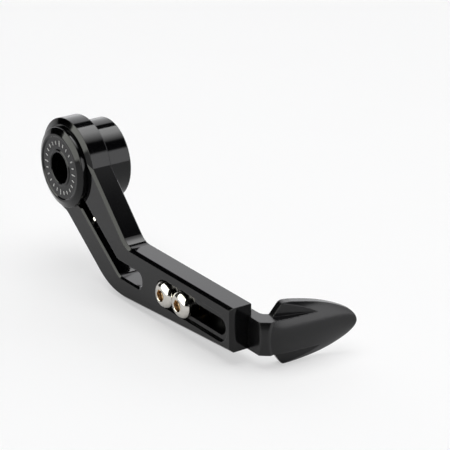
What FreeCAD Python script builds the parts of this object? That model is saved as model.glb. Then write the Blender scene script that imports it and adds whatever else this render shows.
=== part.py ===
import FreeCAD, Part
import math
import os

# A guard for a hand lever. A split ring clamps on a hub that bolts into the end of a handlebar,
# a cranked arm reaches along the lever, and a moulded tip slides along a slot in the arm.
# Frame in mm: the origin is on the bolt axis, on the face that meets the handlebar end.
# X runs along the straight arm towards the tip, Y along the bolt into the bar, Z is up.

# Fits
RUN_GAP = 0.05        # radial gap of the ring on its spigot
END_GAP = 0.10        # axial gap on each side of the ring
SLIDE_GAP = 0.10      # between the tip's shank and its channel in the arm
PRESS_GAP = 0.01      # between pieces that are pressed or screwed together

# Hub: spacer and end cap, turned
HUB_R = 16.0
SPACER_L = 10.85
SPIGOT_R = 13.0
HUB_CHAMFER = 0.5
CAP_T = 3.05
CAP_BEVEL_R = 2.5     # bevel of the cap's front edge, across the radius
CAP_BEVEL_Y = 1.2     # and along the axis
CAP_PLUG_R = 9.0
CAP_PLUG_L = 9.4
HEAD_BORE_R = 6.15    # counterbore for the bolt head
HEAD_BORE_DEPTH = 9.0
BOLT_HOLE_R = 3.3
MOUTH_CHAMFER = 0.6

# Arm: one plate
ARM_T = 9.2
RING_R = 19.2
RING_BEVEL_R = 2.4
RING_BEVEL_Y = 0.95
EDGE_CHAMFER = 1.1    # along the front outline
BACK_CHAMFER = 0.4
INNER_ANGLE = 45.0    # slope of the web's upper edge
INNER_OFFSET = 16.4   # its distance from the bolt axis
OUTER_ANGLE = 35.4
OUTER_OFFSET = 16.2
TOP_Z = -19.2
ARM_END_X = 111.8
BOTTOM_END_Z = -36.5
BOTTOM_SLOPE = 3.8
INNER_ELBOW_R = 8.0
OUTER_ELBOW_R = 27.0
HEEL_R = 6.0          # hollow where the web's lower edge runs into the ring

# Clamp slit: measured along the lower edge of the web (u) and square to it (n)
SLIT_N0 = -5.4
SLIT_N1 = -0.8
SLIT_FOOT_TOP_Z = -26.9
SLIT_FOOT_BOTTOM_Z = -33.0
SLIT_FOOT_END_X = 53.2
SLIT_FOOT_R = 2.6
SLIT_TURN_R = 5.0
SLIT_CHAMFER = 0.7

# Clamp screw, M4 with a cylindrical head, crossing the slit
CLAMP_U = 22.7
CLAMP_R = 2.0
CLAMP_L = 16.0
CLAMP_HEAD_R = 3.5
CLAMP_HEAD_H = 4.0
CLAMP_HEX = 3.0
CLAMP_SUNK = 0.6      # head below the edge of the web
CLAMP_HEAD_GAP = 0.2
CLAMP_SHANK_GAP = 0.2
CLAMP_TAP_SPARE = 1.5

# Adjusting slot and its two M6 button head screws
SLOT_Z = -29.0
SCREW_X = 69.4        # inner screw
SCREW_PITCH = 11.2
SCREW_R = 3.0
SCREW_L = 10.0
SCREW_HEAD_R = 5.25
SCREW_HEAD_H = 3.3
SCREW_RIM_H = 0.4
SCREW_TOP_R = 2.7
SCREW_DOME = 0.6      # bow of the domed side
SCREW_DOME_STEPS = 4  # cones that make up the dome
SCREW_HEX = 4.0
SCREW_HEX_DEPTH = 2.0
SLOT_GAP = 0.2
LEDGE_GAP = 0.3
LEDGE_DEPTH = 1.0
TRAVEL = 23.0
STOP_GAP = 0.3        # left at each end of the travel

# Tip: shank in the channel, bent round into the wing
CHANNEL_DEPTH = 2.0
CHANNEL_ROOF_Z = -23.55
CHANNEL_END_GAP = 2.0 # left behind the shank
SHANK_LEAD = 7.4      # shank behind the inner screw
SHANK_T = 4.8
SHANK_H = 13.0
INSERT_R = 4.2
BEND_OUTER_R = 2.5
BEND_BALL_R = 20.0    # ball that rounds the outer corner upwards and downwards
BEND_INNER_R = 3.5
WING_X = 118.0        # point that the wing is drawn from
WING_Y = -2.4
WING_DROP = 0.4       # the wing's middle below the middle of the shank
WING_ANGLE = 78.8     # wing direction, turned from X towards Y
WING_ROOT_S = -6.5
NECK_S = -6.0         # the neck's sides run from here
NECK_N = 4.7
NECK_END_S = -1.0     # to here, inside the wing
NECK_END_N = 2.6
# outline: distance along the wing, half height
WING_EDGE = [(-0.3, 12.1), (3.2, 11.9), (7.0, 11.3), (12.7, 10.2), (18.5, 8.5), (24.3, 6.0), (27.6, 3.8)]
WING_NOSE_S = 29.6
WING_FIN_S = -4.1     # where the fin's root edge leaves the shank
WING_CORNER_R = 2.4
# sections: distance along the wing, half height, bulge of the front, thickness factor of the back
WING_SECTIONS = [
    (-6.5, 13.4, 4.9, 1.0),
    (0.0, 12.5, 5.5, 1.0),
    (7.0, 11.5, 5.0, 1.0),
    (12.7, 10.4, 4.3, 0.92),
    (18.5, 8.7, 3.3, 0.78),
    (24.3, 6.2, 2.1, 0.62),
    (30.5, 2.2, 0.9, 0.46),
]
WING_BACK_N = -2.4
WING_RIM_N = -2.0
WING_FLAT = 0.40      # part of the height that is flat at the back
WING_OVER = 0.6       # sections reach past the outline by this much
FIN_N0 = 0.8          # front of the fin at its root
FIN_N1 = 2.8          # and at the apex of the pocket
POCKET_APEX_S = 14.3

# Values that follow from these
ARM_BACK_Y = -(SPACER_L + END_GAP)
ARM_FRONT_Y = ARM_BACK_Y - ARM_T
ARM_MID_Y = (ARM_BACK_Y + ARM_FRONT_Y) / 2
CAP_SEAT_Y = ARM_FRONT_Y - END_GAP
CAP_FRONT_Y = CAP_SEAT_Y - CAP_T
LEDGE_Y = ARM_FRONT_Y + LEDGE_DEPTH
CHANNEL_Y = ARM_BACK_Y - CHANNEL_DEPTH
SHANK_Y0 = CHANNEL_Y + SLIDE_GAP
SHANK_Y1 = SHANK_Y0 + SHANK_T
SHANK_X = SCREW_X - SHANK_LEAD
CHANNEL_X = SHANK_X - CHANNEL_END_GAP
SHANK_Z1 = CHANNEL_ROOF_Z - SLIDE_GAP
SHANK_Z0 = SHANK_Z1 - SHANK_H
WING_Z = (SHANK_Z0 + SHANK_Z1) / 2 - WING_DROP
SHANK_SIDES = {1: SHANK_Z1 - WING_Z, -1: SHANK_Z0 - WING_Z}   # top and bottom, from the wing's middle
SCREW_XS = {"inner": SCREW_X, "outer": SCREW_X + SCREW_PITCH}
SLOT_X0 = SCREW_X - STOP_GAP
SLOT_X1 = SCREW_X + SCREW_PITCH + TRAVEL + STOP_GAP
SLOT_R = SCREW_R + SLOT_GAP
LEDGE_R = SCREW_HEAD_R + LEDGE_GAP
PAST = 1.0            # how far a cutting shape runs past the face it cuts
TOUCHING = 1e-4       # points closer than this are one

ALONG_Y = FreeCAD.Vector(0, 1, 0)
ORIGIN = FreeCAD.Vector(0, 0, 0)


def turned(profile):
    """Solid of revolution about the Y axis from (radius, y) corners."""
    wire = Part.makePolygon([FreeCAD.Vector(r, y, 0) for r, y in profile + profile[:1]])
    return Part.Face(wire).revolve(ORIGIN, ALONG_Y, 360)


def rod(radius, y0, y1, x=0.0, z=0.0):
    """Cylinder along Y between two y values."""
    return Part.makeCylinder(radius, y1 - y0, FreeCAD.Vector(x, y0, z), ALONG_Y)


def corner_points(before, corner, after, radius):
    """Start, middle and end of the arc that rounds a corner between two straight lines."""
    back = (before - corner).normalize()
    ahead = (after - corner).normalize()
    half = back.getAngle(ahead) / 2
    cut = radius / math.tan(half)
    middle = corner + (back + ahead).normalize() * (radius / math.sin(half) - radius)
    return corner + back * cut, middle, corner + ahead * cut


def rounded(points, radii):
    """Closed wire through the corner points, each corner rounded by its radius."""
    following = points[1:] + points[:1]
    corners = [corner_points(points[i - 1], points[i], following[i], radii[i]) for i in range(len(points))]
    edges = []
    for i, (start, middle, end) in enumerate(corners):
        if radii[i] > 0:
            edges.append(Part.Arc(start, middle, end).toShape())
        next_start = corners[(i + 1) % len(corners)][0]
        if end.distanceToPoint(next_start) > TOUCHING:
            edges.append(Part.makeLine(end, next_start))
    return Part.Wire(edges)


def plate(corners, y0, y1):
    """Plate square to Y from (x, z, corner radius) corners."""
    points = [FreeCAD.Vector(x, y0, z) for x, z, radius in corners]
    wire = rounded(points, [radius for x, z, radius in corners])
    return Part.Face(wire).extrude(ALONG_Y * (y1 - y0))


def obround(x0, x1, z, radius, y0, y1):
    """Slot shape along X with round ends, centred on x0 and x1."""
    bar = Part.makeBox(x1 - x0, y1 - y0, 2 * radius, FreeCAD.Vector(x0, y0, z - radius))
    return bar.fuse([rod(radius, y0, y1, x0, z), rod(radius, y0, y1, x1, z)]).removeSplitter()


def hexagon(across_flats, height):
    """Hexagonal prism on the XY plane, rising along Z."""
    points = []
    for i in range(7):
        angle = math.radians(60 * i)
        points.append(FreeCAD.Vector(math.cos(angle), math.sin(angle), 0) * (across_flats / math.sqrt(3)))
    return Part.Face(Part.makePolygon(points)).extrude(FreeCAD.Vector(0, 0, height))


def aimed(shape, place, direction):
    """The shape moved from the origin to a place, its Z axis turned to a direction."""
    turn = FreeCAD.Rotation(FreeCAD.Vector(0, 0, 1), direction)
    moved = shape.copy()
    moved.Placement = FreeCAD.Placement(place, turn)
    return moved


def edges_at(shape, y, keep):
    """Edges that lie on the plane at y and whose centre passes a test."""
    found = []
    for edge in shape.Edges:
        box = edge.BoundBox
        if abs(box.YMin - y) < TOUCHING and abs(box.YMax - y) < TOUCHING and keep(edge.CenterOfMass):
            found.append(edge)
    return found


def web_point(u, n):
    """Point of the plate from its distances along and square to the web's lower edge."""
    slope = math.radians(OUTER_ANGLE)
    along = FreeCAD.Vector(math.cos(slope), 0, -math.sin(slope))
    square = FreeCAD.Vector(math.sin(slope), 0, math.cos(slope))
    return along * u + square * n


def web_corners():
    """Corners of the cranked plate, starting and ending on the bolt axis."""
    inner = math.radians(INNER_ANGLE)
    outer = math.radians(OUTER_ANGLE)
    rise = math.tan(math.radians(BOTTOM_SLOPE))
    start = (INNER_OFFSET * math.sin(inner), INNER_OFFSET * math.cos(inner), 0)
    elbow_x = INNER_OFFSET / math.sin(inner) - TOP_Z / math.tan(inner)
    # lower elbow: the web's lower edge meets the arm's rising bottom edge
    bottom_at_zero = BOTTOM_END_Z - rise * ARM_END_X
    outer_at_zero = -OUTER_OFFSET / math.cos(outer)
    lower_x = (outer_at_zero - bottom_at_zero) / (rise + math.tan(outer))
    lower_z = bottom_at_zero + rise * lower_x
    # heel: a hollow round that touches the web's lower edge and, further on, the ring
    reach = RING_R + HEEL_R
    level = OUTER_OFFSET + HEEL_R
    along = math.sqrt(reach ** 2 - level ** 2)
    touch = web_point(along, -level) * (RING_R / reach)
    heel = web_point((RING_R * reach - OUTER_OFFSET * level) / along, -OUTER_OFFSET)
    return [
        (0, 0, 0),
        start,
        (elbow_x, TOP_Z, INNER_ELBOW_R),
        (ARM_END_X, TOP_Z, 0),
        (ARM_END_X, BOTTOM_END_Z, 0),
        (lower_x, lower_z, OUTER_ELBOW_R),
        (heel.x, heel.z, HEEL_R),
        (touch.x, touch.z, 0),
    ]


def slit():
    """The clamp slit: from the bore down the web, with a level foot at the elbow."""
    start = SPIGOT_R / 2
    upper = web_point(start, SLIT_N1)
    lower = web_point(start, SLIT_N0)
    slope = math.tan(math.radians(OUTER_ANGLE))
    turn_x = upper.x + (upper.z - SLIT_FOOT_TOP_Z) / slope
    heel_x = lower.x + (lower.z - SLIT_FOOT_BOTTOM_Z) / slope
    corners = [
        (upper.x, upper.z, 0),
        (turn_x, SLIT_FOOT_TOP_Z, SLIT_TURN_R),
        (SLIT_FOOT_END_X, SLIT_FOOT_TOP_Z, SLIT_FOOT_R),
        (SLIT_FOOT_END_X, SLIT_FOOT_BOTTOM_Z, SLIT_FOOT_R),
        (heel_x, SLIT_FOOT_BOTTOM_Z, SLIT_TURN_R),
        (lower.x, lower.z, 0),
    ]
    return plate(corners, ARM_FRONT_Y - PAST, ARM_BACK_Y + PAST)


def clamp_axis(n):
    """Point on the clamp screw's axis."""
    return web_point(CLAMP_U, n) + FreeCAD.Vector(0, ARM_MID_Y, 0)


CLAMP_TOP_N = -OUTER_OFFSET + CLAMP_SUNK
CLAMP_SEAT_N = CLAMP_TOP_N + CLAMP_HEAD_H
CLAMP_END_N = CLAMP_SEAT_N + CLAMP_L
CLAMP_WAY = web_point(0, 1)


def guard_arm():
    """Ring, cranked web and straight arm in one plate."""
    ring = turned([
        (0, ARM_FRONT_Y),
        (RING_R - RING_BEVEL_R, ARM_FRONT_Y),
        (RING_R, ARM_FRONT_Y + RING_BEVEL_Y),
        (RING_R, ARM_BACK_Y - BACK_CHAMFER),
        (RING_R - BACK_CHAMFER, ARM_BACK_Y),
        (0, ARM_BACK_Y),
    ])
    web = plate(web_corners(), ARM_FRONT_Y, ARM_BACK_Y)
    clear_of_bore = lambda p: math.hypot(p.x, p.z) > SPIGOT_R
    web = web.makeChamfer(EDGE_CHAMFER, edges_at(web, ARM_FRONT_Y, clear_of_bore))
    web = web.makeChamfer(BACK_CHAMFER, edges_at(web, ARM_BACK_Y, clear_of_bore))
    body = ring.fuse(web).removeSplitter()
    body = body.cut(rod(SPIGOT_R + RUN_GAP, ARM_FRONT_Y - PAST, ARM_BACK_Y + PAST))
    body = body.cut(slit())
    in_slit = lambda p: RING_R < math.hypot(p.x, p.z) and p.x < SLIT_FOOT_END_X + PAST
    rim = [e for e in edges_at(body, ARM_FRONT_Y, in_slit) if slit().distToShape(e)[0] < TOUCHING]
    body = body.makeChamfer(SLIT_CHAMFER, rim)
    body = body.cut(obround(SLOT_X0, SLOT_X1, SLOT_Z, SLOT_R, ARM_FRONT_Y - PAST, ARM_BACK_Y + PAST))
    body = body.cut(obround(SLOT_X0, SLOT_X1, SLOT_Z, LEDGE_R, ARM_FRONT_Y - PAST, LEDGE_Y))
    depth = 2 * (CHANNEL_ROOF_Z - BOTTOM_END_Z)
    channel = Part.makeBox(ARM_END_X - CHANNEL_X + PAST, CHANNEL_DEPTH + PAST, depth,
                           FreeCAD.Vector(CHANNEL_X, CHANNEL_Y, CHANNEL_ROOF_Z - depth))
    body = body.cut(channel)
    head_hole = Part.makeCylinder(CLAMP_HEAD_R + CLAMP_HEAD_GAP, CLAMP_HEAD_H + CLAMP_SUNK + PAST)
    shank_hole = Part.makeCylinder(CLAMP_R + CLAMP_SHANK_GAP, SLIT_N1 - CLAMP_SEAT_N - PAST)
    tapped_hole = Part.makeCylinder(CLAMP_R + PRESS_GAP, CLAMP_L + CLAMP_TAP_SPARE)
    body = body.cut([
        aimed(head_hole, clamp_axis(CLAMP_TOP_N - CLAMP_SUNK - PAST), CLAMP_WAY),
        aimed(shank_hole, clamp_axis(CLAMP_SEAT_N), CLAMP_WAY),
        aimed(tapped_hole, clamp_axis(CLAMP_SEAT_N), CLAMP_WAY),
    ])
    return body


def end_cap():
    """Bevelled disc with a plug that is pressed into the spacer, bored for the bolt and its head."""
    head_floor = CAP_FRONT_Y + HEAD_BORE_DEPTH
    plug_end = CAP_SEAT_Y + CAP_PLUG_L
    return turned([
        (HEAD_BORE_R + MOUTH_CHAMFER, CAP_FRONT_Y),
        (HUB_R - CAP_BEVEL_R, CAP_FRONT_Y),
        (HUB_R, CAP_FRONT_Y + CAP_BEVEL_Y),
        (HUB_R, CAP_SEAT_Y),
        (CAP_PLUG_R, CAP_SEAT_Y),
        (CAP_PLUG_R, plug_end),
        (BOLT_HOLE_R, plug_end),
        (BOLT_HOLE_R, head_floor),
        (HEAD_BORE_R, head_floor),
        (HEAD_BORE_R, CAP_FRONT_Y + MOUTH_CHAMFER),
    ])


def bar_spacer():
    """Spacer against the handlebar end, with the spigot that carries the split ring."""
    plug_floor = CAP_SEAT_Y + CAP_PLUG_L + END_GAP
    return turned([
        (BOLT_HOLE_R, 0),
        (HUB_R - HUB_CHAMFER, 0),
        (HUB_R, -HUB_CHAMFER),
        (HUB_R, -SPACER_L + HUB_CHAMFER),
        (HUB_R - HUB_CHAMFER, -SPACER_L),
        (SPIGOT_R, -SPACER_L),
        (SPIGOT_R, CAP_SEAT_Y),
        (CAP_PLUG_R + PRESS_GAP, CAP_SEAT_Y),
        (CAP_PLUG_R + PRESS_GAP, plug_floor),
        (BOLT_HOLE_R, plug_floor),
    ])


def clamp_screw():
    """Cylindrical head screw across the slit."""
    head = Part.makeCylinder(CLAMP_HEAD_R, CLAMP_HEAD_H)
    shank = Part.makeCylinder(CLAMP_R, CLAMP_HEAD_H + CLAMP_L)
    screw = head.fuse(shank).removeSplitter()
    screw = screw.cut(hexagon(CLAMP_HEX, CLAMP_HEAD_H / 2))
    return aimed(screw, clamp_axis(CLAMP_TOP_N), CLAMP_WAY)


def tip_screw(x):
    """Button head screw: domed head on the ledge, hexagon socket."""
    top_y = -SCREW_HEAD_H
    shoulder = FreeCAD.Vector(SCREW_HEAD_R, -SCREW_RIM_H, 0)
    crown = FreeCAD.Vector(SCREW_TOP_R, top_y, 0)
    outward = FreeCAD.Vector(0, 0, 1).cross(crown - shoulder).normalize()
    dome = Part.Arc(shoulder, (shoulder + crown) / 2 + outward * SCREW_DOME, crown).toShape()
    steps = [(point.x, point.y) for point in dome.discretize(SCREW_DOME_STEPS + 1)]
    screw = turned(steps + [(0, top_y), (0, SCREW_L), (SCREW_R, SCREW_L), (SCREW_R, 0), (SCREW_HEAD_R, 0)])
    socket = aimed(hexagon(SCREW_HEX, SCREW_HEX_DEPTH), FreeCAD.Vector(0, top_y, 0), ALONG_Y)
    screw = screw.cut(socket)
    screw.translate(FreeCAD.Vector(x, LEDGE_Y, SLOT_Z))
    return screw


def tip_insert(x):
    """Threaded bush moulded into the shank."""
    outside = rod(INSERT_R, SHANK_Y0, SHANK_Y1, x, SLOT_Z)
    return outside.cut(rod(SCREW_R + PRESS_GAP, SHANK_Y0 - PAST, SHANK_Y1 + PAST, x, SLOT_Z))


def wing_point(s, n, z=0.0):
    """Point of the wing: s along it, n out of its front, z up from its middle."""
    turn = math.radians(WING_ANGLE)
    x = WING_X + s * math.cos(turn) + n * math.sin(turn)
    y = WING_Y + s * math.sin(turn) - n * math.cos(turn)
    return FreeCAD.Vector(x, y, WING_Z + z)


def wing_section(s, half, bulge, back):
    """Closed section of the wing: bowed front, thin rims, flat back."""
    top = half + WING_OVER
    flat = WING_FLAT * half
    rim = WING_RIM_N * back
    low = wing_point(s, 0, -top)
    high = wing_point(s, 0, top)
    around = [high, wing_point(s, rim, top), wing_point(s, WING_BACK_N * back, flat),
              wing_point(s, WING_BACK_N * back, -flat), wing_point(s, rim, -top), low]
    front = Part.Arc(low, wing_point(s, bulge), high).toShape()
    return Part.Wire(Part.makePolygon(around).Edges + [front])


def wing_outline(thickness):
    """The wing's outline seen square on, as a plate of some thickness through the wing."""
    n0 = -thickness / 2
    corner_s, corner_h = WING_EDGE[0]
    upper = [wing_point(s, n0, h) for s, h in WING_EDGE[1:]]
    lower = [wing_point(s, n0, -h) for s, h in reversed(WING_EDGE[1:])]
    edge = Part.BSplineCurve()
    edge.interpolate(upper + [wing_point(WING_NOSE_S, n0)] + lower)
    sides = []
    for sign, side in SHANK_SIDES.items():
        start = wing_point(WING_EDGE[1][0], n0, sign * WING_EDGE[1][1])
        corner = wing_point(corner_s, n0, sign * corner_h)
        root = wing_point(WING_FIN_S, n0, side)
        high, middle, low = corner_points(start, corner, root, WING_CORNER_R)
        sides.append(Part.makeLine(start, high))
        sides.append(Part.Arc(high, middle, low).toShape())
        sides.append(Part.makeLine(low, root))
        sides.append(Part.makeLine(root, wing_point(WING_ROOT_S, n0, side)))
    foot = Part.makeLine(*[wing_point(WING_ROOT_S, n0, side) for side in SHANK_SIDES.values()])
    wire = Part.Wire(Part.__sortEdges__([edge.toShape(), foot] + sides))
    return Part.Face(wire).extrude(wing_point(0, thickness) - wing_point(0, 0))


def pocket(sign):
    """Hollow between the fin and the body, above or below the height of the shank."""
    slope = (FIN_N1 - FIN_N0) / (POCKET_APEX_S - WING_FIN_S)
    start_s = WING_ROOT_S - PAST
    out = SHANK_H
    corners = [(start_s, FIN_N0 + slope * (start_s - WING_FIN_S)), (POCKET_APEX_S, FIN_N1),
               (POCKET_APEX_S, out), (start_s, out)]
    points = [wing_point(s, n, SHANK_SIDES[sign]) for s, n in corners]
    face = Part.Face(Part.makePolygon(points + points[:1]))
    return face.extrude(FreeCAD.Vector(0, 0, sign * SHANK_H))


def neck():
    """Shank and bend, all of one height, running into the root of the wing."""
    buried_front = wing_point(NECK_END_S, NECK_END_N, SHANK_SIDES[-1])
    front = wing_point(NECK_S, NECK_N)
    buried_back = wing_point(NECK_END_S, -NECK_END_N, SHANK_SIDES[-1])
    back = wing_point(NECK_S, WING_BACK_N)

    def reach(level, near, far):
        """Point at a y level on the line through two points."""
        part = (level - near.y) / (far.y - near.y)
        return FreeCAD.Vector(near.x + part * (far.x - near.x), level, SHANK_Z0)

    heel = FreeCAD.Vector(SHANK_X, SHANK_Y0, SHANK_Z0)
    outer = reach(SHANK_Y0, front, buried_front)
    inner = reach(SHANK_Y1, back, buried_back)
    points = [heel, outer, buried_front, buried_back, inner, FreeCAD.Vector(SHANK_X, SHANK_Y1, SHANK_Z0)]
    wire = rounded(points, [0, BEND_OUTER_R, 0, 0, BEND_INNER_R, 0])
    body = Part.Face(wire).extrude(FreeCAD.Vector(0, 0, SHANK_H))
    # the ball touches the middle of the bend, so it takes nothing there and most at the top and bottom edges
    touch = corner_points(heel, outer, buried_front, BEND_OUTER_R)[1] + FreeCAD.Vector(0, 0, SHANK_H / 2)
    inward = (touch - outer - FreeCAD.Vector(0, 0, SHANK_H / 2)).normalize()
    ball = Part.makeSphere(BEND_BALL_R, touch + inward * BEND_BALL_R)
    around = FreeCAD.Vector(SHANK_H, SHANK_H, SHANK_H)
    corner = Part.makeBox(*(around * 2), touch - around)
    return body.cut(corner.cut(ball))


def guard_tip():
    """Moulded tip: shank, bend, and the bowed wing with a fin above and below."""
    body = Part.makeLoft([wing_section(*section) for section in WING_SECTIONS], True, False)
    wing = body.common(wing_outline(2 * SHANK_H))
    wing = wing.cut([pocket(1), pocket(-1)])
    tip = neck().fuse(wing).removeSplitter()
    hole_r = INSERT_R + PRESS_GAP
    return tip.cut([rod(hole_r, SHANK_Y0 - PAST, SHANK_Y1 + PAST, x, SLOT_Z) for x in SCREW_XS.values()])


shapes = {
    "guard_arm": guard_arm(),
    "end_cap": end_cap(),
    "bar_spacer": bar_spacer(),
    "clamp_screw": clamp_screw(),
    "guard_tip": guard_tip(),
}
for name, x in SCREW_XS.items():
    shapes["tip_screw_" + name] = tip_screw(x)
    shapes["tip_insert_" + name] = tip_insert(x)

os.makedirs("parts", exist_ok=True)
for name, shape in shapes.items():
    solid = shape.Solids[0] if len(shape.Solids) == 1 else shape
    solid.exportStep("parts/" + name + ".step")
    box = solid.BoundBox
    print(name, "solids", len(shape.Solids), "valid", shape.isValid(), "volume", round(shape.Volume, 1),
          "x %.2f %.2f y %.2f %.2f z %.2f %.2f" % (box.XMin, box.XMax, box.YMin, box.YMax, box.ZMin, box.ZMax))
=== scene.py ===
# %% [markdown]
# A guard for a hand lever, dressed for a studio picture.
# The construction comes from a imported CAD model: a hub that bolts into the end of a handlebar, a cranked
# arm that clamps round the hub, and a moulded tip that slides along the arm. This lesson leaves those
# solids where they are and adds what the eye needs: finishes, smooth screws, a printed scale and light.
# The model is in metres. Sizes below are in millimetres, as on a drawing, and MM turns them into metres.

# %% Load the frame
import math

import bpy
import numpy as np
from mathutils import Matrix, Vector


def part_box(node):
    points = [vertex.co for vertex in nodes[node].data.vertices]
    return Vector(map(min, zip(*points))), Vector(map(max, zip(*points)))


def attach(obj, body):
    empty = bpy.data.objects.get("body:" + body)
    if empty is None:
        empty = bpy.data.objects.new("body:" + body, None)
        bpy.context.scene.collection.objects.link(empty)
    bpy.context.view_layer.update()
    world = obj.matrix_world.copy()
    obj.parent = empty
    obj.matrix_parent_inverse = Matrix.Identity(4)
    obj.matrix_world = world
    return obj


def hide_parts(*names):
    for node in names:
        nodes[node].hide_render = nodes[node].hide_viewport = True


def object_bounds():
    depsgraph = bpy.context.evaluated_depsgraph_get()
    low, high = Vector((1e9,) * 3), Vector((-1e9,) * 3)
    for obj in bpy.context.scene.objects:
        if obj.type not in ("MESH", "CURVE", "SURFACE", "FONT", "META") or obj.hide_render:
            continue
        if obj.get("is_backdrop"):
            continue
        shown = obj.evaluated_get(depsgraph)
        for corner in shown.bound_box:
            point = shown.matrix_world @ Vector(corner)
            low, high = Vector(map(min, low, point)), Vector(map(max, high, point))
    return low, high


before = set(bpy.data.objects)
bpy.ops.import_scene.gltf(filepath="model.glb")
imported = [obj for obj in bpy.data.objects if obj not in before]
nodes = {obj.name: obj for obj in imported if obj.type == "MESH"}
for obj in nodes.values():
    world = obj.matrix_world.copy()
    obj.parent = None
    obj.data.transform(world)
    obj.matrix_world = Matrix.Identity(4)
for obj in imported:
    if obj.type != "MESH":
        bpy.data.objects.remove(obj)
cad_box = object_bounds()
MM = 0.001
print("nodes:", ", ".join(sorted(nodes)))

# %% [markdown]
# The camera stands to the right of the part and above it, far away with a long lens, as a product
# photographer would place it. The square frame is 450 by 450 pixels. The Standard view transform shows the
# tones as they were worked out, without a film curve over them.

# %% Camera
AZIMUTH = math.radians(55.1)
ELEVATION = math.radians(22.3)
TARGET = Vector((58.42, 14.55, -13.08)) * MM
DISTANCE = 830 * MM
SENSOR_MM = 36
LENS_MM = 175


def put(name, data):
    """An object that holds the data, linked into the scene."""
    item = bpy.data.objects.new(name, data)
    bpy.context.scene.collection.objects.link(item)
    return item


away = Vector((math.sin(AZIMUTH) * math.cos(ELEVATION),
               -math.cos(AZIMUTH) * math.cos(ELEVATION), math.sin(ELEVATION)))
camera = put("camera", bpy.data.cameras.new("camera"))
camera.data.sensor_width = SENSOR_MM
camera.data.lens = LENS_MM
camera.location = TARGET + away * DISTANCE
camera.rotation_euler = (-away).to_track_quat("-Z", "Y").to_euler()
bpy.context.scene.camera = camera
bpy.context.scene.view_settings.view_transform = "Standard"
print("camera at", [round(value, 4) for value in camera.location])

# %% [markdown]
# Colours are easiest to read as the hex values that a paint program shows, but the renderer adds light, so
# it needs linear values. One function does that step for every colour in the file.

# %% Colours
def linear(code):
    """An sRGB hex colour as linear red, green, blue and alpha: the sRGB curve undone, channel by channel."""
    srgb = np.array([int(code[i:i + 2], 16) for i in (1, 3, 5)]) / 255
    low = srgb / 12.92
    high = ((srgb + 0.055) / 1.055) ** 2.4
    return (*np.where(srgb <= 0.04045, low, high).tolist(), 1.0)


print("the grey #808080 is", round(linear("#808080")[0], 3), "in linear light")

# %% [markdown]
# Materials are built from nodes. One small function adds a node, sets it up and joins it, so that a
# material below reads as a short list of what it is made of. The others name nodes that come up often.
# Node trees could be drawn by hand in the editor too, but in a script each number keeps its reason.

# %% Nodes
def add(tree, kind, inputs=None, **settings):
    """Adds a node. Settings are its properties. An input is a value or the output of another node."""
    node = tree.nodes.new(kind)
    for name, value in settings.items():
        setattr(node, name, value)
    for name, value in (inputs or {}).items():
        if isinstance(value, bpy.types.NodeSocket):
            tree.links.new(value, node.inputs[name])
        else:
            node.inputs[name].default_value = value
    return node


def per_metre(size_mm):
    """Scale of a noise pattern whose grains are about this many millimetres across."""
    return 1 / (size_mm * MM)


def noise(tree, place, size_mm, detail):
    """A cloudy pattern from 0 to 1 with grains of a real size; detail adds finer grains to it."""
    inputs = {"Vector": place, "Scale": per_metre(size_mm), "Detail": detail}
    return add(tree, "ShaderNodeTexNoise", inputs).outputs["Fac"]


def blend(tree, share, first, second):
    """A colour between two others, each of them a hex code or the output of another node."""
    ends = [linear(end) if isinstance(end, str) else end for end in (first, second)]
    inputs = {"Factor": share, "A": ends[0], "B": ends[1]}
    return add(tree, "ShaderNodeMix", inputs, data_type="RGBA").outputs["Result"]


def maths(tree, operation, *values):
    """The result of one operation on values or on outputs of other nodes."""
    return add(tree, "ShaderNodeMath", dict(enumerate(values)), operation=operation).outputs["Value"]


print("noise with grains of 1 mm has a scale of", round(per_metre(1)))

# %% [markdown]
# Every material starts in the same way, with an empty tree and the place on the object in metres, and ends
# with a shader that is joined to the output. The lines between say what makes each finish its own.

# %% Start and end of a material
def start_material(name):
    """A new material with an empty node tree, as (material, tree, object coordinates in metres)."""
    material = bpy.data.materials.new(name)
    material.use_nodes = True
    tree = material.node_tree
    tree.nodes.clear()
    place = add(tree, "ShaderNodeTexCoord").outputs["Object"]
    return material, tree, place


def close_material(material, tree, shader):
    """Joins the shader to the material's output."""
    add(tree, "ShaderNodeOutputMaterial", {"Surface": shader.outputs[0]})
    print("material:", material.name, len(tree.nodes), "nodes")
    return material


# %% [markdown]
# The floor is a large pale sheet at the lowest point of the part, so the part seems to stand on it and
# leaves a soft shadow. Studio paper that is lit from below and above looks almost white. Here a share of it
# glows for the camera, and a smaller share for reflections, because a mirror shows paper more as it is. The
# rest is matt paper that takes the shadow.

# %% Floor
FLOOR_HALF = 3.0        # half of its width in metres
GLOW = 0.52             # share of glow that the camera sees
MIRRORED_GLOW = 0.12    # share of glow that a mirror sees
PAPER_CLOUD_MM = 60


def pale_paper():
    """Matt paper with cloudy tone a few centimetres wide, mixed with a plain glow.

    The share of glow is GLOW for camera rays, MIRRORED_GLOW for mirrored rays and nothing for others.
    """
    material, tree, place = start_material("pale_background_paper")
    tone = blend(tree, noise(tree, place, PAPER_CLOUD_MM, detail=2.0), "#f3f3f3", "#f5f5f5")
    paper = add(tree, "ShaderNodeBsdfDiffuse", {"Color": tone}).outputs["BSDF"]
    glow = add(tree, "ShaderNodeEmission", {"Color": linear("#fdfdfd"), "Strength": 1.0}).outputs["Emission"]
    path = add(tree, "ShaderNodeLightPath").outputs
    mirrored = maths(tree, "MAXIMUM", path["Is Glossy Ray"], path["Is Transmission Ray"])
    seen = maths(tree, "MULTIPLY", path["Is Camera Ray"], GLOW)
    share = maths(tree, "MULTIPLY_ADD", mirrored, MIRRORED_GLOW, seen)
    shader = add(tree, "ShaderNodeMixShader", {0: share, 1: paper, 2: glow})
    return close_material(material, tree, shader)


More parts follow.
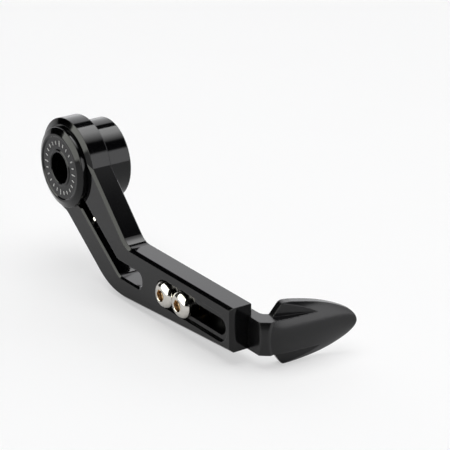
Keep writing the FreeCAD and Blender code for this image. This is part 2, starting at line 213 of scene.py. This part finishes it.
floor_mesh = bpy.data.meshes.new("floor")
corners = [(x * FLOOR_HALF, y * FLOOR_HALF, cad_box[0].z) for x, y in ((-1, -1), (1, -1), (1, 1), (-1, 1))]
floor_mesh.from_pydata(corners, [], [(0, 1, 2, 3)])
floor_mesh.materials.append(pale_paper())
floor = put("floor", floor_mesh)
floor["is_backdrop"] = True
print("floor at z", round(cad_box[0].z / MM, 2), "mm")

# %% [markdown]
# Black shiny metal has almost no colour of its own: what we see is the room mirrored in it. So the room is
# arranged as in a studio. A pale backdrop stands low behind the part, and its upper edge slopes a little.
# It could be a lit sheet of mesh, but a world that is painted by direction needs no model and is the same
# from everywhere. The camera itself sees one plain tone instead, so that a low view has no hard horizon.

# %% Backdrop
BACKDROP = 1.8                  # light that the backdrop sends to the part
SEEN_BACKDROP = 0.82            # what the camera sees instead, the tone of the distant floor
BACKDROP_TOP = 0.613            # height of the upper edge behind, as Z of a direction of length 1
BACKDROP_SLOPE = -0.105         # change of that height along X
FRONT_TOP = -0.05               # in front, the backdrop ends just below the horizon
FRONT_TO_BACK = (-0.20, 0.10)   # stretch along Y in which one height turns into the other
SOFT_EDGE = 0.02


def remap(tree, value, source, target, **settings):
    """A value moved from one range to another in proportion, and held at the ends."""
    inputs = {"Value": value, "From Min": source[0], "From Max": source[1],
              "To Min": target[0], "To Max": target[1]}
    return add(tree, "ShaderNodeMapRange", inputs, **settings).outputs["Result"]


def studio_world():
    """The room by direction: pale up to a height that slopes along X behind the part, dark above it.

    In front of the part the height drops smoothly to the horizon.
    """
    world = bpy.data.worlds.new("studio")
    world.use_nodes = True
    tree = world.node_tree
    tree.nodes.clear()
    direction = add(tree, "ShaderNodeTexCoord").outputs["Generated"]
    way = add(tree, "ShaderNodeSeparateXYZ", {"Vector": direction}).outputs
    behind = maths(tree, "MULTIPLY_ADD", way["X"], BACKDROP_SLOPE, BACKDROP_TOP)
    top = remap(tree, way["Y"], FRONT_TO_BACK, (FRONT_TOP, behind), interpolation_type="SMOOTHSTEP")
    above = maths(tree, "SUBTRACT", way["Z"], top)
    edge = (-SOFT_EDGE, SOFT_EDGE)
    light = remap(tree, above, edge, (BACKDROP, 0.0), interpolation_type="SMOOTHSTEP")
    seen = add(tree, "ShaderNodeLightPath").outputs["Is Camera Ray"]
    strength = add(tree, "ShaderNodeMix", {"Factor": seen, "A": light, "B": SEEN_BACKDROP}).outputs["Result"]
    shader = add(tree, "ShaderNodeBackground", {"Color": linear("#fdfdff"), "Strength": strength})
    add(tree, "ShaderNodeOutputWorld", {"Surface": shader.outputs["Background"]})
    bpy.context.scene.world = world
    print("world:", world.name, len(tree.nodes), "nodes")


studio_world()

# %% [markdown]
# The lamps are softboxes. One that fades to one side hangs over the part, and two more stand at the right
# and in front. The ceiling between them stays dark, and these gaps draw the black bands on the ring. Power
# follows from area and radiance, so a box can grow without a brighter image in the metal. The boxes above
# and in front are for mirrors only. A wide fill lamp gives the floor its even light. It is left out of
# reflections, because a second bright ceiling would wash out the bands.

# %% Softboxes
def softbox(name, way, distance, size, radiance, tint="#ffffff"):
    """A rectangular lamp that faces the part from a direction: power = radiance * pi * area, in metres."""
    lamp = bpy.data.lights.new(name, "AREA")
    lamp.shape = "RECTANGLE"
    lamp.size, lamp.size_y = size
    lamp.energy = radiance * math.pi * size[0] * size[1]
    lamp.color = linear(tint)[:3]
    holder = put(name, lamp)
    way = Vector(way).normalized()
    holder.location = TARGET + way * distance
    holder.rotation_euler = way.to_track_quat("Z", "Y").to_euler()
    print(name, "power", round(lamp.energy, 2), "W")
    return holder


def fade_along_x(holder, full, nil):
    """Dims a lamp along X: full light up to one place, then evenly down to none at another."""
    holder.data.use_nodes = True
    tree = holder.data.node_tree
    tree.nodes.clear()
    position = add(tree, "ShaderNodeNewGeometry").outputs["Position"]
    place = add(tree, "ShaderNodeSeparateXYZ", {"Vector": position}).outputs
    shine = add(tree, "ShaderNodeEmission", {"Strength": remap(tree, place["X"], (full, nil), (1.0, 0.0))})
    add(tree, "ShaderNodeOutputLight", {"Surface": shine.outputs["Emission"]})


overhead = softbox("overhead_softbox", way=(0.01, 0.55, 0.83), distance=1.45,
                   size=(1.12, 0.9), radiance=6.8)
fade_along_x(overhead, full=0.0, nil=0.62)
overhead.visible_diffuse = False
softbox("side_softbox", way=(0.883, 0.375, 0.284), distance=1.6, size=(1.05, 0.95), radiance=1.35)
front = softbox("front_softbox", way=(-0.15, -0.85, 0.505), distance=1.53,
                size=(2.2, 1.8), radiance=5.2, tint="#f4f6ee")
front.visible_diffuse = False
fill = softbox("fill_lamp", way=(0.0, 0.0, 1.0), distance=1.35, size=(1.5, 1.5), radiance=2.5)
fill.visible_glossy = False

# %% [markdown]
# The arm, the cap and the spacer are aluminium, milled or turned, then anodised black. The dyed oxide skin
# is clear and hard, so it shines like varnish over black: a dielectric without metal colour. A dense skin
# has an IOR of 1.6 or so. Here it is lower, since the pores scatter part of the mirrored light, and that
# matches the object. The satin comes from etching before the bath, and a lathe leaves rings on turned faces.
# No machined edge is perfectly sharp. The edges are painted a shade lighter, a painted highlight for the
# light
# they catch. The Bevel node gives both: a normal that is averaged over the edge, and, where that differs from
# the flat, a mask.

# %% Black anodised aluminium
ETCH_MM = 0.25              # real pits are a tenth of this, drawn coarser so that they show
ETCH_DEPTH_MM = 0.001
FEED_MM = 0.30              # lathe feed, drawn coarser too
FEED_DEPTH_MM = 0.0004
DYE_PATCH_MM = 14
BROKEN_EDGE_MM = 0.28
BEVEL_SAMPLES = 6
EDGE_LEAN = (0.80, 0.99)    # cosine between averaged and flat normal: fully edge, fully flat
OXIDE_ROUGHNESS = (0.06, 0.12)
OXIDE_IOR = 1.35


def broken_edge(tree, radius_mm):
    """The normal averaged over edges, and a mask from how far it leans off the flat one: 1 on an edge."""
    soft = add(tree, "ShaderNodeBevel", {"Radius": radius_mm * MM}, samples=BEVEL_SAMPLES).outputs["Normal"]
    flat = add(tree, "ShaderNodeNewGeometry").outputs["Normal"]
    along = add(tree, "ShaderNodeVectorMath", {0: soft, 1: flat}, operation="DOT_PRODUCT").outputs["Value"]
    return soft, remap(tree, along, EDGE_LEAN, (1.0, 0.0))


def relief(tree, height, depth_mm, normal=None):
    """A normal bent by a height pattern that rises this many millimetres from 0 to 1."""
    inputs = {"Height": height, "Strength": 1.0, "Distance": depth_mm * MM}
    if normal is not None:
        inputs["Normal"] = normal
    return add(tree, "ShaderNodeBump", inputs).outputs["Normal"]


def feed_rings(tree, place):
    """Rings of a lathe about the Y axis: sine of 2 pi * (radius + y) / feed, on faces and on rims alike."""
    axes = add(tree, "ShaderNodeSeparateXYZ", {"Vector": place}).outputs
    across = add(tree, "ShaderNodeCombineXYZ", {"X": axes["X"], "Y": axes["Z"]}).outputs["Vector"]
    radius = add(tree, "ShaderNodeVectorMath", {0: across}, operation="LENGTH").outputs["Value"]
    travel = maths(tree, "ADD", radius, axes["Y"])
    return maths(tree, "SINE", maths(tree, "MULTIPLY", travel, 2 * math.pi / (FEED_MM * MM)))


def black_anodised(name, turned):
    """Etched and dyed oxide: black body, clear gloss, tiny pits, a painted highlight on edges, rings where it
    was turned.
    """
    material, tree, place = start_material(name)
    normal, edge = broken_edge(tree, BROKEN_EDGE_MM)
    patch = noise(tree, place, DYE_PATCH_MM, detail=3.0)
    # The edge mask lightens the colour towards #1b1b1d: a painted highlight on the edges.
    body = blend(tree, edge, blend(tree, patch, "#030304", "#070708"), "#1b1b1d")
    normal = relief(tree, noise(tree, place, ETCH_MM, detail=2.0), ETCH_DEPTH_MM, normal)
    if turned:
        normal = relief(tree, feed_rings(tree, place), FEED_DEPTH_MM, normal)
    shader = add(tree, "ShaderNodeBsdfPrincipled", {
        "Base Color": body, "Roughness": remap(tree, patch, (0.0, 1.0), OXIDE_ROUGHNESS),
        "IOR": OXIDE_IOR, "Normal": normal})
    return close_material(material, tree, shader)


milled_black = black_anodised("black_anodised_milled", turned=False)
turned_black = black_anodised("black_anodised_turned", turned=True)

# %% [markdown]
# The tip is moulded from nylon with glass fibre. Its tool was sparked to a fine grain, so the surface is
# softer than the metal: wider highlights, and a grain that breaks them up. Moulded edges are rounder than
# machined ones, so the averaged normal reaches further. Plain nylon has an IOR of 1.53. It is lowered here
# to match the object, whose grain swallows part of the light.

# %% Moulded nylon
GRAIN_MM = 0.35             # spark grain, drawn coarser so that it shows
GRAIN_DEPTH_MM = 0.004
NYLON_CLOUD_MM = 9
MOULDED_EDGE_MM = 0.5
NYLON_ROUGHNESS = (0.17, 0.25)
NYLON_IOR = 1.40


def moulded_nylon():
    """Filled nylon: nearly black, semi-matt, with a fine even grain, slight cloudiness, rounded edges and a
    painted highlight on them.
    """
    material, tree, place = start_material("glass_filled_nylon_black")
    normal, edge = broken_edge(tree, MOULDED_EDGE_MM)
    cloud = noise(tree, place, NYLON_CLOUD_MM, detail=2.0)
    # The edge mask lightens the colour towards #151517: a painted highlight on the rounded edges.
    body = blend(tree, edge, blend(tree, cloud, "#08080a", "#0e0e0f"), "#151517")
    normal = relief(tree, noise(tree, place, GRAIN_MM, detail=3.0), GRAIN_DEPTH_MM, normal)
    shader = add(tree, "ShaderNodeBsdfPrincipled", {
        "Base Color": body, "Roughness": remap(tree, cloud, (0.0, 1.0), NYLON_ROUGHNESS),
        "IOR": NYLON_IOR, "Normal": normal})
    return close_material(material, tree, shader)


nylon = moulded_nylon()

# %% [markdown]
# The screws are stainless steel, polished in a barrel. It is a real metal, so it mirrors the room in its
# own slightly warm grey. Inside the sockets it is painted a darker brownish grey: painted shade, with the
# brownish reflection that the steel shows in there. A number on each vertex says how deep inside a socket
# it is. The brass bushes in the tip are turned and left bare.

# %% Steel and brass
POLISH_PATCH_MM = 2.5
ROUGHNESS_SPREAD = (0.8, 1.2)


def bare_metal(name, light, dark, roughness, socket_shade=None):
    """A metal mirror: its tone and polish vary in patches a few millimetres wide; sockets may get painted
    shade.
    """
    material, tree, place = start_material(name)
    patch = noise(tree, place, POLISH_PATCH_MM, detail=3.0)
    body = blend(tree, patch, light, dark)
    if socket_shade:
        inside = add(tree, "ShaderNodeAttribute", attribute_name="socket").outputs["Fac"]
        # Painted shade: the deeper inside a socket, the darker and browner the steel.
        body = blend(tree, inside, body, socket_shade)
    spread = [roughness * share for share in ROUGHNESS_SPREAD]
    shader = add(tree, "ShaderNodeBsdfPrincipled", {
        "Base Color": body, "Roughness": remap(tree, patch, (0.0, 1.0), spread), "Metallic": 1.0})
    return close_material(material, tree, shader)


# b7a388 is the painted shade and brownish reflection inside the sockets.
steel = bare_metal("stainless_barrel_polished", "#cfccc6", "#c2bfb9", roughness=0.13, socket_shade="#b7a388")
brass = bare_metal("brass_turned", "#bfa062", "#ab8c50", roughness=0.25)

# %% [markdown]
# Each CAD solid gets the finish of its real material. The material that came with the solid is taken off
# first, so that only the new one is left on the mesh.

# %% Finishes of the solids
finishes = {"guard_arm": milled_black, "end_cap": turned_black, "bar_spacer": turned_black,
            "clamp_screw": steel, "guard_tip": nylon, "tip_screw_inner": steel, "tip_screw_outer": steel,
            "tip_insert_inner": brass, "tip_insert_outer": brass}
for name, finish in finishes.items():
    nodes[name].data.materials.clear()
    nodes[name].data.materials.append(finish)
print("finishes:", len(finishes))

# %% [markdown]
# The turned pieces and the screws are remade as fine surfaces, because in a close view their edges should
# be round. Each one is a profile of corners that is carried round an axis. A corner is rounded with a
# quadratic curve: it starts and ends a short way from the corner and is pulled towards it. A modifier could
# round the edges too, but here the profile already says which edge is how round.

# %% Rounded profiles
CORNER_POINTS = 7
SUPPORT_MM = 0.03


def rounded_profile(corners, closed):
    """Rows of numbers, with the edge break last in each, as a profile with rounded corners.

    A corner becomes (1-t)^2 start + 2t(1-t) corner + t^2 end; start and end lie one break away from it.
    A row just beyond each keeps the flats flat when shaded. The ends of an open profile stay as they are.
    """
    table = np.array(corners, float)
    corner, cut = table[:, :-1], table[:, -1:, None]
    ahead = np.roll(corner, -1, axis=0) - corner
    ahead /= np.linalg.norm(ahead, axis=1, keepdims=True)
    back = -np.roll(ahead, 1, axis=0)
    ahead, back, middle = ahead[:, None], back[:, None], corner[:, None]
    t = np.linspace(0, 1, CORNER_POINTS)[None, :, None]
    arc = middle + back * cut * (1 - t) ** 2 + ahead * cut * t ** 2
    rows = np.concatenate([arc[:, :1] + back * SUPPORT_MM, arc, arc[:, -1:] + ahead * SUPPORT_MM], axis=1)
    if closed:
        return rows.reshape(-1, corner.shape[1])
    return np.vstack([corner[:1], rows[1:-1].reshape(-1, corner.shape[1]), corner[-1:]])


def full_turn(steps):
    """The angles of a full turn in equal steps."""
    return np.arange(steps) * 2 * math.pi / steps


def around(radius, along, centre, axes):
    """Points in mm: centre + along * axis + radius * (cos a * side + sin a * up), for angles a of a turn.

    The radius is an array of rows and columns, along has a value for each row, and axes is side, up, axis.
    """
    angle = full_turn(radius.shape[1])
    side, up, axis = np.array(axes, float)
    turn = np.cos(angle)[:, None] * side + np.sin(angle)[:, None] * up
    return np.array(centre, float) + along[:, None, None] * axis + radius[:, :, None] * turn[None]


square = rounded_profile([(0, 0, 0.1), (1, 0, 0.1), (1, 1, 0.1), (0, 1, 0.1)], closed=True)
print("a square with rounded corners has", len(square), "points")

# %% [markdown]
# A surface of this kind is a grid: rings of points one after another. Its faces join each point to the
# next in its ring and to the same point of the next ring. A screw starts and ends in a single point on its
# axis, and a fan of triangles closes each end. A turned piece with a hole through it closes on itself.

# %% Faces
def ring_faces(rows, columns, capped):
    """Faces between rings of points as index arrays: quads between neighbours, round a ring and row to row.

    Capped rings start and end in one point, with a fan of triangles there. Others close last row to first.
    """
    index = np.arange(rows * columns).reshape(rows, columns)
    if capped:
        index = index - columns + 1
        index[0], index[-1] = 0, (rows - 2) * columns + 1
    lower, upper = (index[:-1], index[1:]) if capped else (index, np.roll(index, -1, axis=0))
    quads = np.stack([lower, np.roll(lower, -1, axis=1), np.roll(upper, -1, axis=1), upper], axis=-1)
    if capped:
        return [quads[0][:, 1:], quads[1:-1].reshape(-1, 4), quads[-1][:, :3]]
    return [quads.reshape(-1, 4)]


def capped_points(rings):
    """The points of capped rings in the order that their faces count them: an end, rings between, an end."""
    between = rings[..., 1:-1, :, :]
    between = between.reshape(*between.shape[:-3], -1, 3)
    return np.concatenate([rings[..., 0, :1, :], between, rings[..., -1, :1, :]], axis=-2)


print("4 rings of 6 points, capped, have", sum(map(len, ring_faces(4, 6, capped=True))), "faces")

# %% [markdown]
# A face shows its outside on the side from which its corners run anticlockwise. Rather than work that out
# for each profile, the enclosed volume is measured: if it comes out negative, all faces are turned round.
# A finished mesh becomes a piece: it rides on one of the moving bodies, and may stand for a CAD solid.

# %% Meshes and pieces
SHARP = math.radians(35)    # edges that turn more than this stay sharp when shaded


def volume(points, face):
    """Six times the volume under faces: the sum of a . (b x c) over the triangles that fan out from a."""
    a = points[face[:, 0]]
    pairs = [np.cross(points[face[:, k]], points[face[:, k + 1]]) for k in range(1, face.shape[1] - 1)]
    return sum((a * pair).sum() for pair in pairs)


def surface(name, points, faces):
    """A smooth mesh in metres from points in mm. Where the enclosed volume is negative, faces turn round."""
    if sum(volume(points, part) for part in faces) < 0:
        faces = [part[:, ::-1] for part in faces]
    mesh = bpy.data.meshes.new(name)
    mesh.from_pydata(points * MM, [], [face for part in faces for face in part.tolist()])
    mesh.shade_smooth()
    mesh.set_sharp_from_angle(angle=SHARP)
    return mesh


def box_mm(node):
    """The lowest and the highest corner of a CAD node in millimetres."""
    return [np.array(corner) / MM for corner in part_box(node)]


def piece(mesh, finish, body, node=None):
    """An object for the mesh, which rides on a body and takes the finish. It may stand for a CAD node."""
    mesh.materials.append(finish)
    item = put(mesh.name, mesh)
    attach(item, body)
    if node:
        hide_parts(node)
    print(item.name, "on", body, len(mesh.vertices), "points")


arm_low, arm_high = box_mm("guard_arm")
print("the arm measures", " x ".join(f"{length:.1f}" for length in arm_high - arm_low), "mm")

# %% [markdown]
# The end cap and the spacer are turned on a lathe. Their profiles are those of the CAD model, with every
# edge broken by a tenth of a millimetre or two, as a turner would with a file. The cap's face also gets the
# shallow ring-shaped recess that protects the print on it. Its sloping walls show as thin dark lines,
# because they mirror the dark ceiling or the floor in front.

# %% Turned hub
BAR_AXES = ((1, 0, 0), (0, 0, -1), (0, 1, 0))   # side, up and axis of what points along the bar
TURNED_COLUMNS = 192
HUB_R = 16.0
BOLT_HOLE_R = 3.3
HEAD_BORE_R = 6.15
HEAD_BORE_DEPTH = 9.0
BORE_MOUTH = 0.30           # chamfer where the bore opens in the cap's face
CAP_DISC = 3.05             # thickness of the cap outside the plug
CAP_BEVEL = (2.5, 1.2)      # across the radius, along the axis
RECESS_R = (7.10, 12.70)    # inner and outer edge of the recess in the face
RECESS_MM = 0.40            # its depth, and the width of its sloping walls
PLUG_R = 9.0
PLUG_PLAY = (0.01, 0.10)    # round the plug, beyond its end
SPIGOT_R = 13.0
SPACER_DISC = 10.85         # thickness of the spacer outside the spigot
SPACER_CHAMFER = 0.5


def turned_piece(name, profile, node):
    """A closed profile of (radius, y, edge break) in mm, carried round the bolt axis."""
    rows = rounded_profile(profile, closed=True)
    radius = np.repeat(rows[:, :1], TURNED_COLUMNS, axis=1)
    rings = around(radius, rows[:, 1], (0, 0, 0), BAR_AXES)
    mesh = surface(name, rings.reshape(-1, 3), ring_faces(*radius.shape, capped=False))
    piece(mesh, turned_black, "hub", node)


face_y, plug_y = (corner[1] for corner in box_mm("end_cap"))
recess_y = face_y + RECESS_MM
bore_y = face_y + HEAD_BORE_DEPTH
seat_y = face_y + CAP_DISC
turned_piece("turned_end_cap", [
    (HEAD_BORE_R + BORE_MOUTH, face_y, 0.08), (RECESS_R[0], face_y, 0.10),
    (RECESS_R[0] + RECESS_MM, recess_y, 0.12), (RECESS_R[1] - RECESS_MM, recess_y, 0.12),
    (RECESS_R[1], face_y, 0.10), (HUB_R - CAP_BEVEL[0], face_y, 0.20), (HUB_R, face_y + CAP_BEVEL[1], 0.25),
    (HUB_R, seat_y, 0.15), (PLUG_R, seat_y, 0.15), (PLUG_R, plug_y, 0.30), (BOLT_HOLE_R, plug_y, 0.20),
    (BOLT_HOLE_R, bore_y, 0.20), (HEAD_BORE_R, bore_y, 0.30), (HEAD_BORE_R, face_y + BORE_MOUTH, 0.08)],
    "end_cap")

spigot_y, bar_y = (corner[1] for corner in box_mm("bar_spacer"))
ring_y = bar_y - SPACER_DISC
socket_r = PLUG_R + PLUG_PLAY[0]
socket_y = plug_y + PLUG_PLAY[1]
turned_piece("turned_bar_spacer", [
    (BOLT_HOLE_R, bar_y, 0.20), (HUB_R - SPACER_CHAMFER, bar_y, 0.15), (HUB_R, bar_y - SPACER_CHAMFER, 0.15),
    (HUB_R, ring_y + SPACER_CHAMFER, 0.15), (HUB_R - SPACER_CHAMFER, ring_y, 0.15), (SPIGOT_R, ring_y, 0.15),
    (SPIGOT_R, spigot_y, 0.15), (socket_r, spigot_y, 0.15), (socket_r, socket_y, 0.20),
    (BOLT_HOLE_R, socket_y, 0.20)], "bar_spacer")

# %% [markdown]
# Two button head screws hold the tip in its slot. The dome is one large rounded corner between the flat top
# and the upright rim. The socket is a hexagon: half its width divided by the cosine of the angle to the
# nearest flat. One more column in the profile says how far a row is hexagonal, so the mouth blends from
# round to hexagon. A boolean cut would make the socket too, but leaves its edges sharp.

# %% Tip screws
TIP_COLUMNS = 96
HEAD_R = 5.25
HEAD_H = 3.30
HEAD_TOP_R = 2.72           # flat top round the socket
DOME_CORNER = (4.43, 0.36)  # radius and depth of the corner that becomes the dome
DOME_BREAK = 1.60
RIM_DEPTH = 2.04            # where the dome meets the upright rim
KEY_HALF = 2.0              # half of the key's width
KEY_DEPTH = 2.0
KEY_CONE = 0.45             # drill point below the socket's floor
KEY_DRAFT = 0.05            # a punched socket narrows a little towards its floor
KEY_MOUTH = (0.38, 0.16)    # chamfer of the socket's mouth, across and down
SHANK_R = 3.0
SHANK_CHAMFER = 0.6
SOCKET_SHARES = (0.2, 0.8)  # hexagon shares of a row just outside and well inside a socket
SLIDE_GAP = 0.02            # between head and ledge, so that the screws slide without rubbing


def hexagonal(rows, columns):
    """Radii of rows (radius, depth, hexagon share) at equal angles.

    The formula is radius * (1 + share * (1 / cos(angle to the middle of the nearest flat) - 1)).
    """
    to_flat = full_turn(columns) % (math.pi / 3) - math.pi / 6
    return rows[:, :1] * (1 + rows[:, 2:3] * (1 / np.cos(to_flat)[None] - 1))


def mark_sockets(mesh, hexagon, columns):
    """A number on each point, 1 inside a socket: the hexagon share of its row, with soft limits."""
    inside = np.interp(hexagon, SOCKET_SHARES, (0, 1))
    values = np.concatenate([inside[:1], np.repeat(inside[1:-1], columns), inside[-1:]])
    mesh.attributes.new("socket", "FLOAT", "POINT").data.foreach_set("value", values.astype(np.float32))


def button_screw(node):
    """M6 button head screw from the floor of its socket, over dome and shank, to its end."""
    low, high = box_mm(node)
    middle = (low + high) / 2
    length = high[1] - low[1]
    seat = HEAD_H - SLIDE_GAP
    rows = rounded_profile([    # radius, depth, hexagon share, edge break
        (0.0, KEY_DEPTH + KEY_CONE, 1, 0), (KEY_HALF - KEY_DRAFT, KEY_DEPTH, 1, 0.10),
        (KEY_HALF, KEY_MOUTH[1], 1, 0.06), (KEY_HALF + KEY_MOUTH[0], 0.0, 0, 0.06),
        (HEAD_TOP_R, 0.0, 0, 0.06), (*DOME_CORNER, 0, DOME_BREAK), (HEAD_R, RIM_DEPTH, 0, 0.15),
        (HEAD_R, seat, 0, 0.10), (SHANK_R, seat, 0, 0.20),
        (SHANK_R, length - SHANK_CHAMFER, 0, 0.10), (SHANK_R - SHANK_CHAMFER, length, 0, 0.10),
        (0.0, length, 0, 0)], closed=False)
    rings = around(hexagonal(rows, TIP_COLUMNS), rows[:, 1], (middle[0], low[1], middle[2]), BAR_AXES)
    mesh = surface("steel_" + node, capped_points(rings), ring_faces(len(rows), TIP_COLUMNS, capped=True))
    mark_sockets(mesh, rows[:, 2], TIP_COLUMNS)
    piece(mesh, steel, "tip", node)


button_screw("tip_screw_inner")
button_screw("tip_screw_outer")

# %% [markdown]
# The clamp screw pulls the split ring together. It crosses the slit of the arm, where its thread shows, and
# its knurled head sits in the lower edge of the web. The thread is a triangle wave along a helix: it rises
# and falls once for each pitch, and one turn round the screw shifts it by one pitch.

# %% Clamp screw
CLAMP_TILT = math.radians(35.4)     # lean of the screw towards +X
CLAMP_COLUMNS = 120
CLAMP_HEAD_R = 3.5
CLAMP_HEAD_H = 4.0
CLAMP_TOP_CHAMFER = 0.4
CLAMP_TOP_DISH = 0.02       # the top falls this much towards the socket
CLAMP_SEAT_CHAMFER = 0.2
CLAMP_KEY_HALF = 1.5
CLAMP_KEY_DEPTH = 2.0
CLAMP_KEY_CONE = 0.3
CLAMP_KEY_MOUTH = (0.35, 0.25)
CLAMP_R = 2.0
CLAMP_FILLET = (0.2, 0.25)  # under the head, across and down
CLAMP_END = 20.0            # from the top of the head
CLAMP_POINT = (0.45, 0.4)   # chamfer of the end, across and up
KNURLS = 30
KNURL_DEPTH = 0.12
KNURL_BAND = (0.5, 3.7)     # from the top of the head
KNURL_FADE = 0.2
PITCH = 0.7
THREAD_DEPTH = 0.43
THREAD_BAND = (4.7, 19.5)   # from the top of the head
THREAD_ROWS = 170
RUN_OUT = 0.1               # plain shank before the thread


def band(values, limits, fade):
    """1 inside the limits and 0 outside, with an even rise over a short way inside each limit."""
    return np.clip((values - limits[0]) / fade, 0, 1) * np.clip((limits[1] - values) / fade, 0, 1)


def clamp_profile():
    """Rows (radius, depth, hexagon share) from the socket's floor over head and thread to the end."""
    head = rounded_profile([    # radius, depth, hexagon share, edge break
        (0.0, CLAMP_KEY_DEPTH + CLAMP_KEY_CONE, 1, 0),
        (CLAMP_KEY_HALF - KEY_DRAFT, CLAMP_KEY_DEPTH, 1, 0.10),
        (CLAMP_KEY_HALF, CLAMP_KEY_MOUTH[1], 1, 0.10),
        (CLAMP_KEY_HALF + CLAMP_KEY_MOUTH[0], CLAMP_TOP_DISH, 0, 0.06),
        (CLAMP_HEAD_R - CLAMP_TOP_CHAMFER, 0.0, 0, 0.15), (CLAMP_HEAD_R, CLAMP_TOP_CHAMFER, 0, 0.15),
        (CLAMP_HEAD_R, CLAMP_HEAD_H - CLAMP_SEAT_CHAMFER, 0, 0.08),
        (CLAMP_HEAD_R - CLAMP_SEAT_CHAMFER, CLAMP_HEAD_H, 0, 0.08),
        (CLAMP_R + CLAMP_FILLET[0], CLAMP_HEAD_H, 0, 0.08),
        (CLAMP_R, CLAMP_HEAD_H + CLAMP_FILLET[1], 0, 0.08),
        (CLAMP_R, THREAD_BAND[0] - RUN_OUT, 0, 0)], closed=False)
    run = np.linspace(*THREAD_BAND, THREAD_ROWS)
    thread = np.stack([np.full_like(run, CLAMP_R), run, np.zeros_like(run)], axis=1)
    across, up = CLAMP_POINT
    point = [(CLAMP_R, CLAMP_END - up, 0), (CLAMP_R - across, CLAMP_END, 0), (0.0, CLAMP_END, 0)]
    return np.vstack([head, thread, point])


def clamp_screw():
    """M4 cylinder head screw: profile radius, less the knurl's cosine and the thread's triangle wave.

    The knurl is its depth * (1 + cos(count * angle)) / 2. The wave is |2 * part - 1|, where part is what
    is left of (way along the screw / pitch - share of a turn) after whole numbers are taken off.
    """
    low, high = box_mm("clamp_screw")
    sine, cosine = math.sin(CLAMP_TILT), math.cos(CLAMP_TILT)
    top = (low[0] + CLAMP_HEAD_R * cosine, (low[1] + high[1]) / 2, low[2] + CLAMP_HEAD_R * sine)
    rows = clamp_profile()
    angle = full_turn(CLAMP_COLUMNS)[None]
    along = rows[:, 1:2]
    on_head = band(along, KNURL_BAND, KNURL_FADE) * (rows[:, :1] > CLAMP_HEAD_R - KNURL_DEPTH)
    knurl = on_head * KNURL_DEPTH * (0.5 + 0.5 * np.cos(KNURLS * angle))
    wave = np.abs(2 * ((along / PITCH - angle / (2 * math.pi)) % 1) - 1)
    thread = band(along, THREAD_BAND, PITCH) * THREAD_DEPTH * wave
    radius = hexagonal(rows, CLAMP_COLUMNS) - knurl - thread
    rings = around(radius, rows[:, 1], top, ((cosine, 0, -sine), (0, 1, 0), (sine, 0, cosine)))
    mesh = surface("steel_clamp_screw", capped_points(rings), ring_faces(*radius.shape, capped=True))
    mark_sockets(mesh, rows[:, 2], CLAMP_COLUMNS)
    piece(mesh, steel, "arm", "clamp_screw")


clamp_screw()

# %% [markdown]
# A plain ring of marks is printed on the cap's face, so that the arm's angle can be set alike on both ends
# of a handlebar. Pad printing leaves a film of ink with soft corners. An image could show it, but thin pads
# of mesh stay sharp in a close view. Each mark is a superellipse, which is a rectangle with rounded corners,
# and all marks are worked out in one array.

# %% Printed scale
MARKS = 24
LONG_EVERY = 6
MARK_RADIUS = 10.0
HALF_LENGTHS = (1.25, 0.8)  # of a long mark, of a short one
HALF_WIDTH = 0.27
OUTLINE_POINTS = 20
INK_MM = 0.03
INK_ROOT_MM = 0.05          # how far a pad reaches into the cap, so that no gap shows
INK_TOP_SHARE = 0.94        # size of a pad's flat top, against its rim
INK_GRAIN_MM = 0.4
INK_GRAIN_DEPTH_MM = 0.003
INK_ROUGHNESS = 0.45


def white_ink():
    """Pad printing ink: white, satin, with slight unevenness a fraction of a millimetre wide."""
    material, tree, place = start_material("white_pad_print_ink")
    uneven = noise(tree, place, INK_GRAIN_MM, detail=2.0)
    shader = add(tree, "ShaderNodeBsdfPrincipled", {
        "Base Color": blend(tree, uneven, "#c9c9c6", "#dededb"), "Roughness": INK_ROUGHNESS,
        "Normal": relief(tree, uneven, INK_GRAIN_DEPTH_MM)})
    return close_material(material, tree, shader)


def printed_marks():
    """Thin pads in the recess: rings of |x/a|^4 + |y/b|^4 = 1 at root, rim and top, and two middle points."""
    turn = full_turn(OUTLINE_POINTS)
    outline = np.stack([np.cos(turn), np.sin(turn)], axis=-1)
    outline = np.sign(outline) * np.sqrt(np.abs(outline))
    flat = outline * np.array([0.0, 1.0, 1.0, INK_TOP_SHARE, 0.0])[:, None, None]
    lift = np.array([-INK_ROOT_MM, -INK_ROOT_MM, 0.5 * INK_MM, INK_MM, INK_MM])[None, :, None]
    half_length = np.where(np.arange(MARKS) % LONG_EVERY == 0, *HALF_LENGTHS)[:, None, None]
    out = MARK_RADIUS + half_length * flat[None, ..., 0]
    across = np.broadcast_to(HALF_WIDTH * flat[None, ..., 1], out.shape)
    height = np.broadcast_to(recess_y - lift, out.shape)
    at = full_turn(MARKS)[:, None, None]
    x = out * np.cos(at) - across * np.sin(at)
    z = out * np.sin(at) + across * np.cos(at)
    points = capped_points(np.stack([x, height, z], axis=-1))
    first = np.arange(MARKS)[:, None, None] * points.shape[1]
    pad = ring_faces(*flat.shape[:2], capped=True)
    faces = [(part[None] + first).reshape(-1, part.shape[1]) for part in pad]
    return surface("printed_scale", points.reshape(-1, 3), faces)


piece(printed_marks(), white_ink(), "hub")

# %% [markdown]
# The last step measures. Rounded edges take material away and the ink lies in a recess, so the dressed part
# should be no larger than the CAD model.

# %% Sizes and finish
boxes = {"cad": [list(corner) for corner in cad_box], "visual": [list(corner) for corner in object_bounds()]}
growth = np.subtract(boxes["visual"], boxes["cad"]) / MM
print("box growth in mm:", np.round(growth, 3).tolist())
